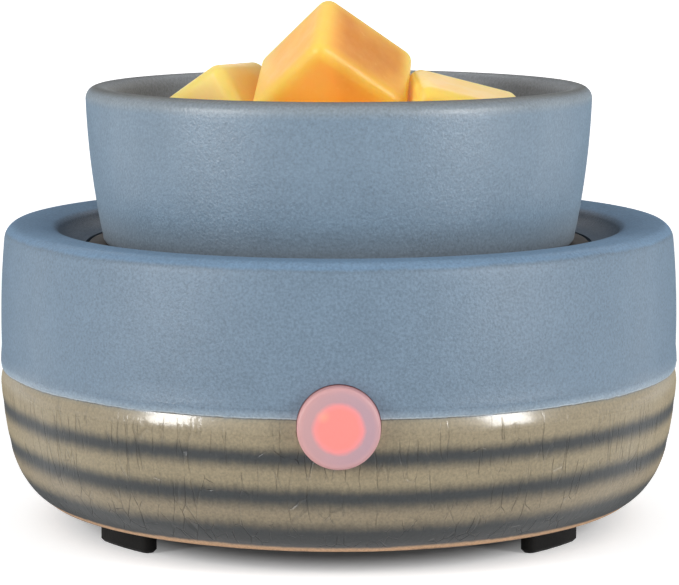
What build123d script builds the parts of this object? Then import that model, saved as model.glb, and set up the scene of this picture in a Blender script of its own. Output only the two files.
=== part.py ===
from build123d import *
from math import cos, pi, sqrt
import os

os.makedirs("parts", exist_ok=True)

# Wax melt warmer: a glazed stoneware body with a hot plate in its top, a loose dish on
# the plate, and a lit push button at the front.
# Lengths are millimetres. The origin is the middle of the plane that the feet stand on,
# Z is up and the button faces -Y.

# Loose dish
dish_height = 31.1
dish_rim_radius = 50.1
dish_flare = 3.2
dish_wall = 4.8
dish_foot_wall = 5.1
dish_floor = 4.9
dish_base_round = 1.5
dish_bowl_share = 0.287
dish_foot_recess = 0.6
dish_foot_width = 7.0
dish_flank_shares = (0.656, 0.463)

# Stoneware body
body_lift = 4.9
body_height = 54.0
body_wall = 4.6
rim_width = 10.55
rim_thickness = 8.4
recess_depth = 4.0
recess_flat = 1.2
recess_cove = 5.35
rim_inner_drop = 0.5
recess_edge_shares = (0.25, 0.43)
glaze_line_share = 0.476
glaze_step = 0.5
ledge_width = 6.5
ledge_thickness = 4.7
ledge_margin = 1.6
roof_slope = 3.0
cavity_low_share = 0.35
cavity_high_round = 6.0
foot_ring_width = 3.9
foot_ring_chamfer = 1.7
floor_ledge = 5.7
floor_thickness = 3.5

# Shares of body_radius and of glaze_line for the belly, and the same for the upper wall,
# whose heights are shares of the wall between the glaze line and the rim
foot_shares = (0.905, 0.008)
belly_low_shares = (0.9467, 0.183)
belly_mid_shares = (0.9793, 0.451)
belly_top_shares = (1.0, 0.934)
flank_shares = (0.9956, 0.42)
rim_outer_shares = (0.9837, 0.905)
rim_shoulder_shares = (0.957, 0.997)
rim_crest_shares = (0.899, 1.0)

# Shallow turned bands in the lower glaze, by their place along the two belly arcs
band_depth = 0.35
band_half_width = 1.6
band_low_shares = (0.36, 0.97)
band_high_shares = (0.55,)

# Hot plate and what hangs under it
plate_margin = 3.1
plate_gap = 0.4
plate_thickness = 2.4
plate_chamfer = 0.4
gasket_thickness = 0.8
gasket_inset = 0.5
spigot_gap = 0.5
spigot_wall = 1.6
spigot_depth = 3.0
sheet_thickness = 0.8
retainer_gap = 0.9
post_edge = 3.6
post_count = 4
post_start_angle = 45
stud_radius = 1.6
stud_length = 9.0
standoff_flats = 7.0
standoff_sides = 6
standoff_bore_gap = 0.15
standoff_bore_depth = 10.0
pan_gap = 0.8
pad_gap = 0.5
pad_thickness = 4.0
pad_overlap = 1.2
heater_thickness = 1.6
blade_width = 4.8
blade_thickness = 0.8
blade_reach = 8.0
blade_spacing = 14.0
blade_setback = 12.0
blade_gap = 0.5
pan_vent_radius = 4.0

# Thermostat and thermal fuse under the retainer pan, each at a share of the pan's radius
thermostat_offset_share = 0.468
thermostat_cap_radius = 8.0
thermostat_cap_height = 3.5
thermostat_body_radius = 7.4
thermostat_body_height = 7.1
thermostat_ear_span = 28.0
thermostat_ear_width = 8.0
thermostat_screw_spacing = 21.6
thermostat_blade_length = 7.5
thermostat_blade_spacing = 8.0
fuse_offset_share = 0.468
fuse_radius = 2.0
fuse_length = 12.0
fuse_lead_radius = 0.5
fuse_lead_length = 5.0
fuse_gap = 0.1
clip_width = 6.0
clip_thickness = 0.6
clip_tab = 6.5
bracket_screw_radius = 1.4
bracket_head_radius = 2.6
bracket_head_height = 1.4
screw_gap = 0.15

# Bottom cover
cover_thickness = 2.4
cover_inset = 0.6
cover_gap = 0.4
cover_chamfer = 0.5
cover_skirt_wall = 1.8
cover_skirt_height = 5.1
cover_rib_wall = 1.4
cover_rib_height = 2.6
cover_rib_count = 8
cover_hub_radius = 19.0
boss_radius = 4.6
boss_height = 8.6
vent_count = 16
vent_skip = 1
vent_width = 2.4
vent_length = 11.0
vent_middle_radius = 28.5
screw_radius = 1.5
screw_head_radius = 3.0
screw_head_height = 2.0
screw_reach = 8.0
screw_well_depth = 4.0
screw_well_gap = 0.5

# Feet: curved rubber strips bonded in grooves of the cover
foot_azimuth = 39.4
foot_half_angle = 6.8
foot_thickness = 3.4
foot_edge = 1.1
foot_groove_depth = 1.2
foot_gap = 0.15
foot_chamfer = 0.6

# Push button, its guide and the board behind it
button_drop = 1.0
button_radius_share = 0.2918
button_hole_gap = 0.5
button_proud = 2.4
button_crown = 0.35
button_edge_round = 0.8
button_face = 1.8
button_skirt_wall = 1.2
button_flange_width = 1.1
button_flange = 1.2
button_boss_radius = 2.8
button_travel = 1.2
stop_gap = 0.05
guide_gap = 0.3
guide_wall_gap = 0.2
guide_lip = 2.0
guide_well_gap = 0.4
guide_wall = 1.8
guide_boss_radius = 2.6
guide_boss_edge = 3.0
guide_boss_height = 6.5
board_depth = 17.9
board_thickness = 1.6
board_width = 26.0
board_top_gap = 2.0
board_gap = 0.15
board_post_length = 5.0
board_post_wall = 1.7
board_post_grip = 2.2
board_post_height = 9.0
board_screw_radius = 1.0
board_screw_reach = 5.0
board_head_radius = 1.9
board_head_height = 1.3
switch_width = 6.6
switch_height = 6.0
switch_slack = 0.7
plunger_radius = 1.6
plunger_gap = 0.2
plunger_reach = 3.0
plunger_sunk = 3.2
socket_gap = 0.05
led_radius = 1.5
led_length = 5.2
led_offset = 5.3
capacitor_length = 13.0
capacitor_depth = 5.0
capacitor_base = 1.0
capacitor_gap = 0.5
capacitor_round = 0.8
resistor_radius = 1.5
resistor_length = 9.0
resistor_drop_share = 0.4032

# Terminal block
terminal_length = 26.0
terminal_depth = 13.0
terminal_height = 11.0
terminal_setback = 23.5
terminal_count = 3
terminal_pitch = 8.0
terminal_entry_radius = 1.6
terminal_entry_rise = 4.0
terminal_entry_depth = 4.5
terminal_well_radius = 2.1
terminal_well_depth = 3.5
terminal_pad_margin = 1.0

# Cord gland at the rear
gland_rise = 17.1
gland_bore_radius = 3.1
gland_neck_radius = 4.0
gland_hole_gap = 0.1
gland_flange_radius = 6.0
gland_flange = 2.6
gland_inner_radius = 5.4
gland_inner_flange = 1.6
gland_seat_depth = 1.7
gland_inner_seat = 0.4
gland_seat_gap = 0.4
gland_round = 0.7

# Wires inside the body
wire_radius = 1.1
wire_bend = 3.2
sleeve_wall = 0.8
sleeve_gap = 0.1
sleeve_grip = 6.0
sleeve_tail = 2.5
crimp_radius = 1.6
crimp_grip = 3.0
crimp_tail = 2.0
supply_drop = 9.6
supply_side = 7.0
wire_low_share = 0.58
wire_bend_share = 0.8
wire_height_shares = (0.5, 0.62)
wire_slack = 7.0

# Wax melts: their width as a share of the bowl's inner foot, the rest as shares of the width
melt_width_share = 0.5574
melt_depth_share = 0.7725
melt_round_share = 0.1073
melt_draft_angle = 1.0

# How the melts lie: the middle of each, as shares of their width from the middle of the
# dish floor, and its turns about X, Y and Z in degrees
top_melt_shares = (-0.0502, -0.097, 1.1335)
top_melt_angles = (-55.4, 6.0, 38.0)
left_melt_shares = (-0.9798, 0.2052, 0.6545)
left_melt_angles = (-89.2, 29.4, -32.9)
right_melt_shares = (0.9876, -0.1837, 0.6335)
right_melt_angles = (-78.6, -6.8, 16.2)
lower_melt_shares = (-0.0687, -0.804, 0.3863)
lower_melt_angles = (0.0, 0.0, 1.0)

# One overrun serves all cuts
overrun = 2.0

# Heights and radii worked out from the sizes above
glaze_line = glaze_line_share * body_height
cavity_low_round = cavity_low_share * glaze_line
button_radius = button_radius_share * glaze_line
rim_z = body_lift + body_height
plate_top_z = rim_z - recess_depth
plate_under_z = plate_top_z - plate_thickness
ledge_z = plate_under_z - gasket_thickness
ledge_under_z = ledge_z - ledge_thickness
glaze_z = body_lift + glaze_line
button_z = glaze_z - button_drop
board_half_height = ledge_under_z - button_z - board_top_gap
guide_boss_offset = board_half_height - guide_boss_edge
dish_base_radius = dish_rim_radius - dish_flare
plate_radius = dish_base_radius + plate_margin
recess_radius = plate_radius + plate_gap
ledge_radius = plate_radius - ledge_width
cove_foot_radius = recess_radius + recess_flat
rim_inner_radius = cove_foot_radius + recess_cove
body_radius = rim_inner_radius + rim_width
cavity_radius = body_radius - glaze_step - body_wall
foot_ring_radius = foot_shares[0] * body_radius - foot_ring_chamfer
foot_ring_inner = foot_ring_radius - foot_ring_width
cover_under_z = body_lift + cover_inset
cover_top_z = cover_under_z + cover_thickness
floor_top_z = cover_top_z + floor_thickness
floor_hole_radius = foot_ring_inner - floor_ledge
dish_floor_z = plate_top_z + dish_floor
dish_inner_radius = dish_base_radius - dish_foot_wall
dish_bowl_round = dish_bowl_share * dish_inner_radius
melt_width = melt_width_share * dish_inner_radius
melt_depth = melt_depth_share * melt_width
melt_round = melt_round_share * melt_width


def belly_point(shares):
    return (shares[0] * body_radius, body_lift + shares[1] * glaze_line)


def upper_point(shares):
    return (shares[0] * body_radius, glaze_z + shares[1] * (body_height - glaze_line))


def front_plane(reach):
    """Plane square to the button's axis, reach in front of the body's axis, facing out."""
    return Plane(origin=(0, -reach, button_z), x_dir=(1, 0, 0), z_dir=(0, -1, 0))


def save(piece, name):
    piece.part.label = name
    export_step(piece.part, f"parts/{name}.step")


# Button axis, seen in a plane through it whose first direction points out of the front
button_side = Plane(origin=(0, 0, button_z), x_dir=(0, -1, 0), z_dir=(1, 0, 0))
button_axis = Axis((0, 0, button_z), (0, -1, 0))

# Cord axis, in a plane whose first direction points out of the rear
gland_z = body_lift + gland_rise
gland_side = Plane(origin=(0, 0, gland_z), x_dir=(0, 1, 0), z_dir=(1, 0, 0))
gland_axis = Axis((0, 0, gland_z), (0, 1, 0))
gland_outer_seat = body_radius - gland_seat_depth
gland_inner_face = cavity_radius - gland_inner_seat

# Dish: a turned bowl with a full round rim and a low foot ring
with BuildPart() as wax_dish:
    dish_top_z = plate_top_z + dish_height
    rim_round = dish_wall / 2
    rim_bend_z = dish_top_z - rim_round
    inner_foot = (dish_inner_radius, dish_floor_z)
    foot_inner_radius = dish_base_radius - dish_foot_width
    with BuildSketch(Plane.XZ) as dish_profile:
        with BuildLine():
            under = Polyline(
                (0, dish_floor_z),
                (0, plate_top_z + dish_foot_recess),
                (foot_inner_radius, plate_top_z + dish_foot_recess),
                (foot_inner_radius, plate_top_z),
                (dish_base_radius - dish_base_round, plate_top_z),
            )
            heel = TangentArc(
                under @ 1,
                (dish_base_radius, plate_top_z + dish_base_round),
                tangent=(1, 0),
            )
            flank = ThreePointArc(
                heel @ 1,
                (
                    dish_base_radius + dish_flank_shares[0] * dish_flare,
                    plate_top_z + dish_flank_shares[1] * dish_height,
                ),
                (dish_rim_radius, rim_bend_z),
            )
            rim = ThreePointArc(
                flank @ 1,
                (dish_rim_radius - rim_round, dish_top_z),
                (dish_rim_radius - dish_wall, rim_bend_z),
            )
            Line(rim @ 1, inner_foot)
            Line(inner_foot, under @ 0)
        make_face()
        fillet(dish_profile.vertices().sort_by_distance(inner_foot)[0], radius=dish_bowl_round)
    revolve(axis=Axis.Z)
save(wax_dish, "wax_dish")

# Body: a turned hollow form, open below, with a recess and a ledge for the hot plate
with BuildPart() as base_shell:
    rim_inner_z = rim_z - rim_inner_drop
    roof_z = rim_z - rim_thickness
    cavity_low = (cavity_radius, floor_top_z)
    cavity_high = (cavity_radius, roof_z)
    band_radius = (band_half_width**2 + band_depth**2) / (2 * band_depth)
    with BuildSketch(Plane.XZ) as shell_profile:
        with BuildLine():
            low = ThreePointArc(
                belly_point(foot_shares),
                belly_point(belly_low_shares),
                belly_point(belly_mid_shares),
            )
            high = TangentArc(low @ 1, belly_point(belly_top_shares), tangent=low % 1)
            shoulder = TangentArc(high @ 1, (body_radius - glaze_step, glaze_z), tangent=(0, 1))
            flank = ThreePointArc(
                shoulder @ 1, upper_point(flank_shares), upper_point(rim_outer_shares)
            )
            lip = TangentArc(flank @ 1, upper_point(rim_shoulder_shares), tangent=flank % 1)
            crest = ThreePointArc(
                lip @ 1, upper_point(rim_crest_shares), (rim_inner_radius, rim_inner_z)
            )
            edge = TangentArc(
                crest @ 1,
                (
                    rim_inner_radius - recess_edge_shares[0] * recess_cove,
                    rim_z - recess_edge_shares[1] * recess_depth,
                ),
                tangent=crest % 1,
            )
            cove = TangentArc((cove_foot_radius, plate_top_z), edge @ 1, tangent=(1, 0))
            Polyline(
                cove @ 0,
                (recess_radius, plate_top_z),
                (recess_radius, ledge_z),
                (ledge_radius, ledge_z),
                (ledge_radius, ledge_under_z),
                (recess_radius + ledge_margin, ledge_under_z),
                (recess_radius + ledge_margin + roof_slope, roof_z),
                cavity_high,
                cavity_low,
                (floor_hole_radius, floor_top_z),
                (floor_hole_radius, cover_top_z),
                (foot_ring_inner, cover_top_z),
                (foot_ring_inner, body_lift),
                (foot_ring_radius, body_lift),
                low @ 0,
            )
        make_face()
        fillet(shell_profile.vertices().sort_by_distance(cavity_low)[0], radius=cavity_low_round)
        fillet(shell_profile.vertices().sort_by_distance(cavity_high)[0], radius=cavity_high_round)
        for arc, shares in ((low, band_low_shares), (high, band_high_shares)):
            for share in shares:
                way = arc % share
                outward = Vector(way.Y, -way.X)
                with Locations((arc @ share) + outward * (band_radius - band_depth)):
                    Circle(band_radius, mode=Mode.SUBTRACT)
    revolve(axis=Axis.Z)
    with BuildSketch(front_plane(0)):
        Circle(button_radius + button_hole_gap)
    extrude(amount=body_radius + overrun, mode=Mode.SUBTRACT)
    with BuildSketch(gland_side):
        with BuildLine():
            neck_hole = gland_neck_radius + gland_hole_gap
            inner_seat = gland_inner_radius + gland_seat_gap
            outer_seat = gland_flange_radius + gland_seat_gap
            inner_start = gland_inner_face - gland_inner_flange - overrun
            Polyline(
                (inner_start, 0),
                (inner_start, inner_seat),
                (gland_inner_face, inner_seat),
                (gland_inner_face, neck_hole),
                (gland_outer_seat, neck_hole),
                (gland_outer_seat, outer_seat),
                (body_radius + overrun, outer_seat),
                (body_radius + overrun, 0),
                close=True,
            )
        make_face()
    revolve(axis=gland_axis, mode=Mode.SUBTRACT)
save(base_shell, "base_shell")

# Hot plate: flush in the recess, with a locating spigot and four studs below
spigot_radius = ledge_radius - spigot_gap
flange_radius = spigot_radius - spigot_wall - retainer_gap
post_circle = flange_radius - post_edge
with BuildPart() as hot_plate:
    with BuildSketch(Plane.XY.offset(plate_top_z)):
        Circle(plate_radius)
    extrude(amount=-plate_thickness)
    chamfer(hot_plate.edges().group_by(Axis.Z)[-1], length=plate_chamfer)
    with BuildSketch(Plane.XY.offset(plate_under_z)):
        Circle(spigot_radius)
        Circle(spigot_radius - spigot_wall, mode=Mode.SUBTRACT)
    extrude(amount=-spigot_depth)
    with BuildSketch(Plane.XY.offset(plate_under_z)):
        with PolarLocations(post_circle, post_count, start_angle=post_start_angle):
            Circle(stud_radius)
    extrude(amount=-stud_length)
save(hot_plate, "hot_plate")

# Gasket between the plate's flange and the clay ledge
with BuildPart() as plate_gasket:
    with BuildSketch(Plane.XY.offset(ledge_z)):
        Circle(plate_radius)
        Circle(ledge_radius + gasket_inset, mode=Mode.SUBTRACT)
    extrude(amount=gasket_thickness)
save(plate_gasket, "plate_gasket")

# Heater, insulation and the sheet steel pan that clamps them to the plate
standoff_corner = standoff_flats / (2 * cos(pi / standoff_sides))
pan_outer = post_circle - standoff_corner - pan_gap
pan_inner = pan_outer - sheet_thickness
pad_radius = pan_inner - pad_gap
heater_radius = pad_radius - pad_overlap
heater_under_z = plate_under_z - heater_thickness
pad_under_z = heater_under_z - pad_thickness
pan_under_z = pad_under_z - sheet_thickness
flange_under_z = plate_under_z - sheet_thickness
blade_end_z = pan_under_z - blade_reach
blade_places = [(side * blade_spacing / 2, -blade_setback) for side in (-1, 1)]

with BuildPart() as heater_element:
    with BuildSketch(Plane.XY.offset(heater_under_z)):
        Circle(heater_radius)
    extrude(amount=heater_thickness)
    with BuildSketch(Plane.XY.offset(heater_under_z)):
        with Locations(*blade_places):
            Rectangle(blade_width, blade_thickness)
    extrude(amount=blade_end_z - heater_under_z)
save(heater_element, "heater_element")

with BuildPart() as insulation_pad:
    with BuildSketch(Plane.XY.offset(pad_under_z)):
        Circle(pad_radius)
        with Locations(*blade_places):
            Rectangle(blade_width + 2 * blade_gap, blade_thickness + 2 * blade_gap, mode=Mode.SUBTRACT)
    extrude(amount=pad_thickness)
save(insulation_pad, "insulation_pad")

thermostat_offset = thermostat_offset_share * pan_outer
fuse_offset = fuse_offset_share * pan_outer
thermostat_place = (-thermostat_offset, 0)
clip_outer = fuse_radius + fuse_gap + clip_thickness
clip_screw_x = fuse_offset + clip_outer + clip_tab / 2
thermostat_holes = [(-thermostat_offset, side * thermostat_screw_spacing / 2) for side in (-1, 1)]
bracket_holes = [*thermostat_holes, (clip_screw_x, 0)]
bracket_hole_radius = bracket_screw_radius + screw_gap

with BuildPart() as heater_retainer:
    with BuildSketch(Plane.XZ):
        with BuildLine():
            Polyline(
                (0, pan_under_z),
                (pan_outer, pan_under_z),
                (pan_outer, flange_under_z),
                (flange_radius, flange_under_z),
                (flange_radius, plate_under_z),
                (pan_inner, plate_under_z),
                (pan_inner, pad_under_z),
                (0, pad_under_z),
                close=True,
            )
        make_face()
    revolve(axis=Axis.Z)
    with BuildSketch(Plane.XY.offset(pan_under_z)):
        Circle(pan_vent_radius)
        with PolarLocations(post_circle, post_count, start_angle=post_start_angle):
            Circle(stud_radius + screw_gap)
        with Locations(*blade_places):
            Rectangle(blade_width + 2 * blade_gap, blade_thickness + 2 * blade_gap)
        with Locations(*bracket_holes):
            Circle(bracket_hole_radius)
    extrude(amount=plate_under_z - pan_under_z, mode=Mode.SUBTRACT)
save(heater_retainer, "heater_retainer")

# Thermostat: a disc pressed to the pan by its two-eared bracket
thermostat_cap_z = pan_under_z - thermostat_cap_height
thermostat_end_z = thermostat_cap_z - thermostat_body_height
thermostat_blades = [(-thermostat_offset, side * thermostat_blade_spacing / 2) for side in (-1, 1)]
with BuildPart() as thermostat:
    with BuildSketch(Plane.XY.offset(pan_under_z)):
        with Locations(thermostat_place):
            SlotOverall(thermostat_ear_span, thermostat_ear_width, rotation=90)
        with Locations(*thermostat_holes):
            Circle(bracket_hole_radius, mode=Mode.SUBTRACT)
    extrude(amount=-sheet_thickness)
    with BuildSketch(Plane.XY.offset(pan_under_z)):
        with Locations(thermostat_place):
            Circle(thermostat_cap_radius)
    extrude(amount=-thermostat_cap_height)
    with BuildSketch(Plane.XY.offset(thermostat_cap_z)):
        with Locations(thermostat_place):
            Circle(thermostat_body_radius)
    extrude(amount=-thermostat_body_height)
    with BuildSketch(Plane.XY.offset(thermostat_end_z)):
        with Locations(*thermostat_blades):
            Rectangle(blade_width, blade_thickness)
    extrude(amount=-thermostat_blade_length)
save(thermostat, "thermostat")

# Thermal fuse, lying under the pan along Y, and the strap that holds it there
fuse_z = pan_under_z - fuse_gap - fuse_radius
with BuildPart() as thermal_fuse:
    with BuildSketch(Plane.XZ.offset(-fuse_length / 2)):
        with Locations((fuse_offset, fuse_z)):
            Circle(fuse_radius)
    extrude(amount=fuse_length)
    with BuildSketch(Plane.XZ.offset(-fuse_length / 2 - fuse_lead_length)):
        with Locations((fuse_offset, fuse_z)):
            Circle(fuse_lead_radius)
    extrude(amount=fuse_length + 2 * fuse_lead_length)
save(thermal_fuse, "thermal_fuse")

with BuildPart() as fuse_clip:
    with BuildSketch(Plane.XZ.offset(-clip_width / 2)):
        strap_height = pan_under_z - fuse_z
        with Locations((fuse_offset, fuse_z)):
            Circle(clip_outer)
        with Locations((fuse_offset, fuse_z + strap_height / 2)):
            Rectangle(2 * clip_outer, strap_height)
        with Locations((fuse_offset, fuse_z + strap_height / 2 + overrun / 2)):
            Rectangle(2 * (clip_outer - clip_thickness), strap_height + overrun, mode=Mode.SUBTRACT)
        with Locations((fuse_offset, fuse_z)):
            Circle(clip_outer - clip_thickness, mode=Mode.SUBTRACT)
        with Locations((fuse_offset, pan_under_z + clip_outer)):
            Rectangle(2 * clip_outer, 2 * clip_outer, mode=Mode.SUBTRACT)
        with Locations((clip_screw_x - clip_thickness / 2, pan_under_z - clip_thickness / 2)):
            Rectangle(clip_tab + clip_thickness, clip_thickness)
    extrude(amount=clip_width)
    with BuildSketch(Plane.XY.offset(pan_under_z)):
        with Locations((clip_screw_x, 0)):
            Circle(bracket_hole_radius)
    extrude(amount=-clip_thickness, mode=Mode.SUBTRACT)
save(fuse_clip, "fuse_clip")

# Small screws that hold the thermostat's ears and the fuse strap to the pan
with BuildPart() as bracket_screws:
    for (x, y), grip in zip(bracket_holes, (sheet_thickness, sheet_thickness, clip_thickness)):
        with BuildSketch(Plane.XY.offset(pan_under_z - grip)):
            with Locations((x, y)):
                Circle(bracket_head_radius)
        extrude(amount=-bracket_head_height)
        with BuildSketch(Plane.XY.offset(pan_under_z - grip)):
            with Locations((x, y)):
                Circle(bracket_screw_radius)
        extrude(amount=grip + sheet_thickness)
save(bracket_screws, "bracket_screws")

# Hexagonal standoffs, screwed on the plate's studs, and the cover screws below them
boss_top_z = cover_top_z + boss_height
screw_seat_z = cover_under_z + screw_well_depth
with BuildPart() as standoffs:
    with BuildSketch(Plane.XY.offset(boss_top_z)):
        with PolarLocations(post_circle, post_count, start_angle=post_start_angle):
            RegularPolygon(standoff_flats / 2, side_count=standoff_sides, major_radius=False)
    extrude(amount=flange_under_z - boss_top_z)
    with BuildSketch(Plane.XY.offset(flange_under_z)):
        with PolarLocations(post_circle, post_count, start_angle=post_start_angle):
            Circle(stud_radius + standoff_bore_gap)
    extrude(amount=-standoff_bore_depth, mode=Mode.SUBTRACT)
    with BuildSketch(Plane.XY.offset(boss_top_z)):
        with PolarLocations(post_circle, post_count, start_angle=post_start_angle):
            Circle(screw_radius + standoff_bore_gap)
    extrude(amount=standoff_bore_depth, mode=Mode.SUBTRACT)
save(standoffs, "standoffs")

with BuildPart() as cover_screws:
    with BuildSketch(Plane.XY.offset(screw_seat_z)):
        with PolarLocations(post_circle, post_count, start_angle=post_start_angle):
            Circle(screw_head_radius)
    extrude(amount=-screw_head_height)
    with BuildSketch(Plane.XY.offset(screw_seat_z)):
        with PolarLocations(post_circle, post_count, start_angle=post_start_angle):
            Circle(screw_radius)
    extrude(amount=boss_top_z + screw_reach - screw_seat_z)
save(cover_screws, "cover_screws")

# Places on the cover that other pieces stand in
cover_radius = foot_ring_inner - cover_gap
foot_outer_radius = cover_radius - foot_edge
foot_line_radius = foot_outer_radius - foot_thickness / 2
board_front = cavity_radius - board_depth
board_back = board_front - board_thickness
board_bottom_z = button_z - board_half_height
board_edge = board_width / 2
skirt_radius = floor_hole_radius - cover_gap
pad_top_z = cover_top_z + cover_rib_height
foot_names = {
    "foot_rear_right": foot_azimuth,
    "foot_rear_left": 180 - foot_azimuth,
    "foot_front_left": 180 + foot_azimuth,
    "foot_front_right": 360 - foot_azimuth,
}


def foot_arc(azimuth):
    """Centre line of a curved foot, in the plane of the sketch that asks for it."""
    return CenterArc((0, 0), foot_line_radius, azimuth - foot_half_angle, 2 * foot_half_angle)


# Bottom cover: a moulding with a locating skirt, ribs, vents, screw bosses, slotted
# posts for the board, a pad for the terminal block and grooves for the feet
with BuildPart() as bottom_cover:
    with BuildSketch(Plane.XY.offset(cover_under_z)):
        Circle(cover_radius)
    extrude(amount=cover_thickness)
    chamfer(bottom_cover.edges().group_by(Axis.Z)[0], length=cover_chamfer)
    with BuildSketch(Plane.XY.offset(cover_top_z)):
        Circle(skirt_radius)
        Circle(skirt_radius - cover_skirt_wall, mode=Mode.SUBTRACT)
    extrude(amount=cover_skirt_height)
    with BuildSketch(Plane.XY.offset(cover_top_z)):
        rib_end = skirt_radius - cover_skirt_wall / 2
        rib_length = rib_end - cover_hub_radius
        Circle(cover_hub_radius + cover_rib_wall / 2)
        Circle(cover_hub_radius - cover_rib_wall / 2, mode=Mode.SUBTRACT)
        with PolarLocations(cover_hub_radius + rib_length / 2, cover_rib_count):
            Rectangle(rib_length, cover_rib_wall)
    extrude(amount=cover_rib_height)
    with BuildSketch(Plane.XY.offset(cover_top_z)):
        with PolarLocations(post_circle, post_count, start_angle=post_start_angle):
            Circle(boss_radius)
    extrude(amount=boss_height)
    vent_step = 360 / vent_count
    vent_angles = [vent_step * (turn + 1 / 2) for turn in range(vent_count)]
    open_angles = [angle for angle in vent_angles if abs(angle - 90) > vent_skip * vent_step]
    with BuildSketch(Plane.XY.offset(cover_under_z)):
        for angle in open_angles:
            with PolarLocations(vent_middle_radius, 1, start_angle=angle):
                SlotOverall(vent_length, vent_width)
    extrude(amount=cover_thickness, mode=Mode.SUBTRACT)
    with BuildSketch(Plane.XY.offset(cover_top_z)):
        with Locations((0, terminal_setback)):
            Rectangle(
                terminal_length + 2 * terminal_pad_margin, terminal_depth + 2 * terminal_pad_margin
            )
    extrude(amount=cover_rib_height)
    post_width = board_thickness + 2 * board_gap + 2 * board_post_wall
    post_top_z = board_bottom_z + board_post_height
    post_middle = board_edge + board_post_length / 2 - board_post_grip
    board_middle = -(board_front + board_back) / 2
    with BuildSketch(Plane.XY.offset(cover_top_z)):
        with Locations((-post_middle, board_middle), (post_middle, board_middle)):
            Rectangle(board_post_length, post_width)
    extrude(amount=post_top_z - cover_top_z)
    with BuildSketch(Plane.XY.offset(board_bottom_z)):
        with Locations((0, board_middle)):
            Rectangle(board_width + 2 * board_gap, board_thickness + 2 * board_gap)
    extrude(amount=board_post_height, mode=Mode.SUBTRACT)
    with BuildSketch(Plane.XY.offset(cover_under_z)):
        with PolarLocations(post_circle, post_count, start_angle=post_start_angle):
            Circle(screw_head_radius + screw_well_gap)
    extrude(amount=screw_well_depth, mode=Mode.SUBTRACT)
    with BuildSketch(Plane.XY.offset(screw_seat_z)):
        with PolarLocations(post_circle, post_count, start_angle=post_start_angle):
            Circle(screw_radius + screw_gap)
    extrude(amount=boss_top_z - screw_seat_z, mode=Mode.SUBTRACT)
    with BuildSketch(Plane.XY.offset(cover_under_z)):
        for azimuth in foot_names.values():
            SlotArc(foot_arc(azimuth), foot_thickness + 2 * foot_gap)
    extrude(amount=foot_groove_depth, mode=Mode.SUBTRACT)
save(bottom_cover, "bottom_cover")

# Four curved rubber feet
for foot_name, azimuth in foot_names.items():
    with BuildPart() as foot:
        with BuildSketch(Plane.XY):
            SlotArc(foot_arc(azimuth), foot_thickness)
        extrude(amount=cover_under_z + foot_groove_depth)
        chamfer(foot.edges().group_by(Axis.Z)[0], length=foot_chamfer)
    save(foot, foot_name)

# Button cap: one frosted cup whose flange stops behind the guide's lip
face_reach = body_radius + button_proud
flange_outer = button_radius + button_flange_width
well_radius = flange_outer + guide_well_gap
guide_radius = well_radius + guide_wall
lip_front = sqrt(cavity_radius**2 - guide_radius**2) - guide_wall_gap
lip_back = lip_front - guide_lip
cap_end = lip_back - stop_gap - button_flange
boss_end = cap_end + button_flange + stop_gap
face_inner = face_reach - button_crown - button_face
with BuildPart() as button_cap:
    with BuildSketch(button_side):
        with BuildLine():
            crown = ThreePointArc(
                (face_reach, 0),
                (face_reach - button_crown / 4, (button_radius - button_edge_round) / 2),
                (face_reach - button_crown, button_radius - button_edge_round),
            )
            corner = TangentArc(
                crown @ 1,
                (face_reach - button_crown - button_edge_round, button_radius),
                tangent=(0, 1),
            )
            Polyline(
                corner @ 1,
                (cap_end + button_flange, button_radius),
                (cap_end + button_flange, flange_outer),
                (cap_end, flange_outer),
                (cap_end, button_radius - button_skirt_wall),
                (face_inner, button_radius - button_skirt_wall),
                (face_inner, button_boss_radius),
                (boss_end, button_boss_radius),
                (boss_end, plunger_radius + socket_gap),
                (boss_end + plunger_sunk, plunger_radius + socket_gap),
                (boss_end + plunger_sunk, 0),
                crown @ 0,
            )
        make_face()
    revolve(axis=button_axis)
save(button_cap, "button_cap")

# Guide: the ring behind the wall that the cap slides in, with two screw bosses
boss_places = [(0, -guide_boss_offset), (0, guide_boss_offset)]
with BuildPart() as button_guide:
    with BuildSketch(front_plane(board_front)):
        Circle(guide_radius)
    extrude(amount=lip_front - board_front)
    with BuildSketch(front_plane(board_front)):
        with Locations(*boss_places):
            Circle(guide_boss_radius)
    extrude(amount=guide_boss_height)
    with BuildSketch(front_plane(board_front)):
        Circle(well_radius)
    extrude(amount=lip_back - board_front, mode=Mode.SUBTRACT)
    with BuildSketch(front_plane(lip_back)):
        Circle(button_radius + guide_gap)
    extrude(amount=guide_lip, mode=Mode.SUBTRACT)
    with BuildSketch(front_plane(board_front)):
        with Locations(*boss_places):
            Circle(board_screw_radius + screw_gap)
    extrude(amount=board_screw_reach, mode=Mode.SUBTRACT)
save(button_guide, "button_guide")

# Board, standing in the cover's slots, and the screws that hold the guide on it
with BuildPart() as control_board:
    with BuildSketch(front_plane(board_back)):
        Rectangle(board_width, 2 * board_half_height)
        with Locations(*boss_places):
            Circle(board_screw_radius + screw_gap, mode=Mode.SUBTRACT)
    extrude(amount=board_thickness)
save(control_board, "control_board")

with BuildPart() as board_screws:
    with BuildSketch(front_plane(board_back)):
        with Locations(*boss_places):
            Circle(board_head_radius)
    extrude(amount=-board_head_height)
    with BuildSketch(front_plane(board_back)):
        with Locations(*boss_places):
            Circle(board_screw_radius)
    extrude(amount=board_thickness + board_screw_reach - screw_gap)
save(board_screws, "board_screws")

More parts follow.
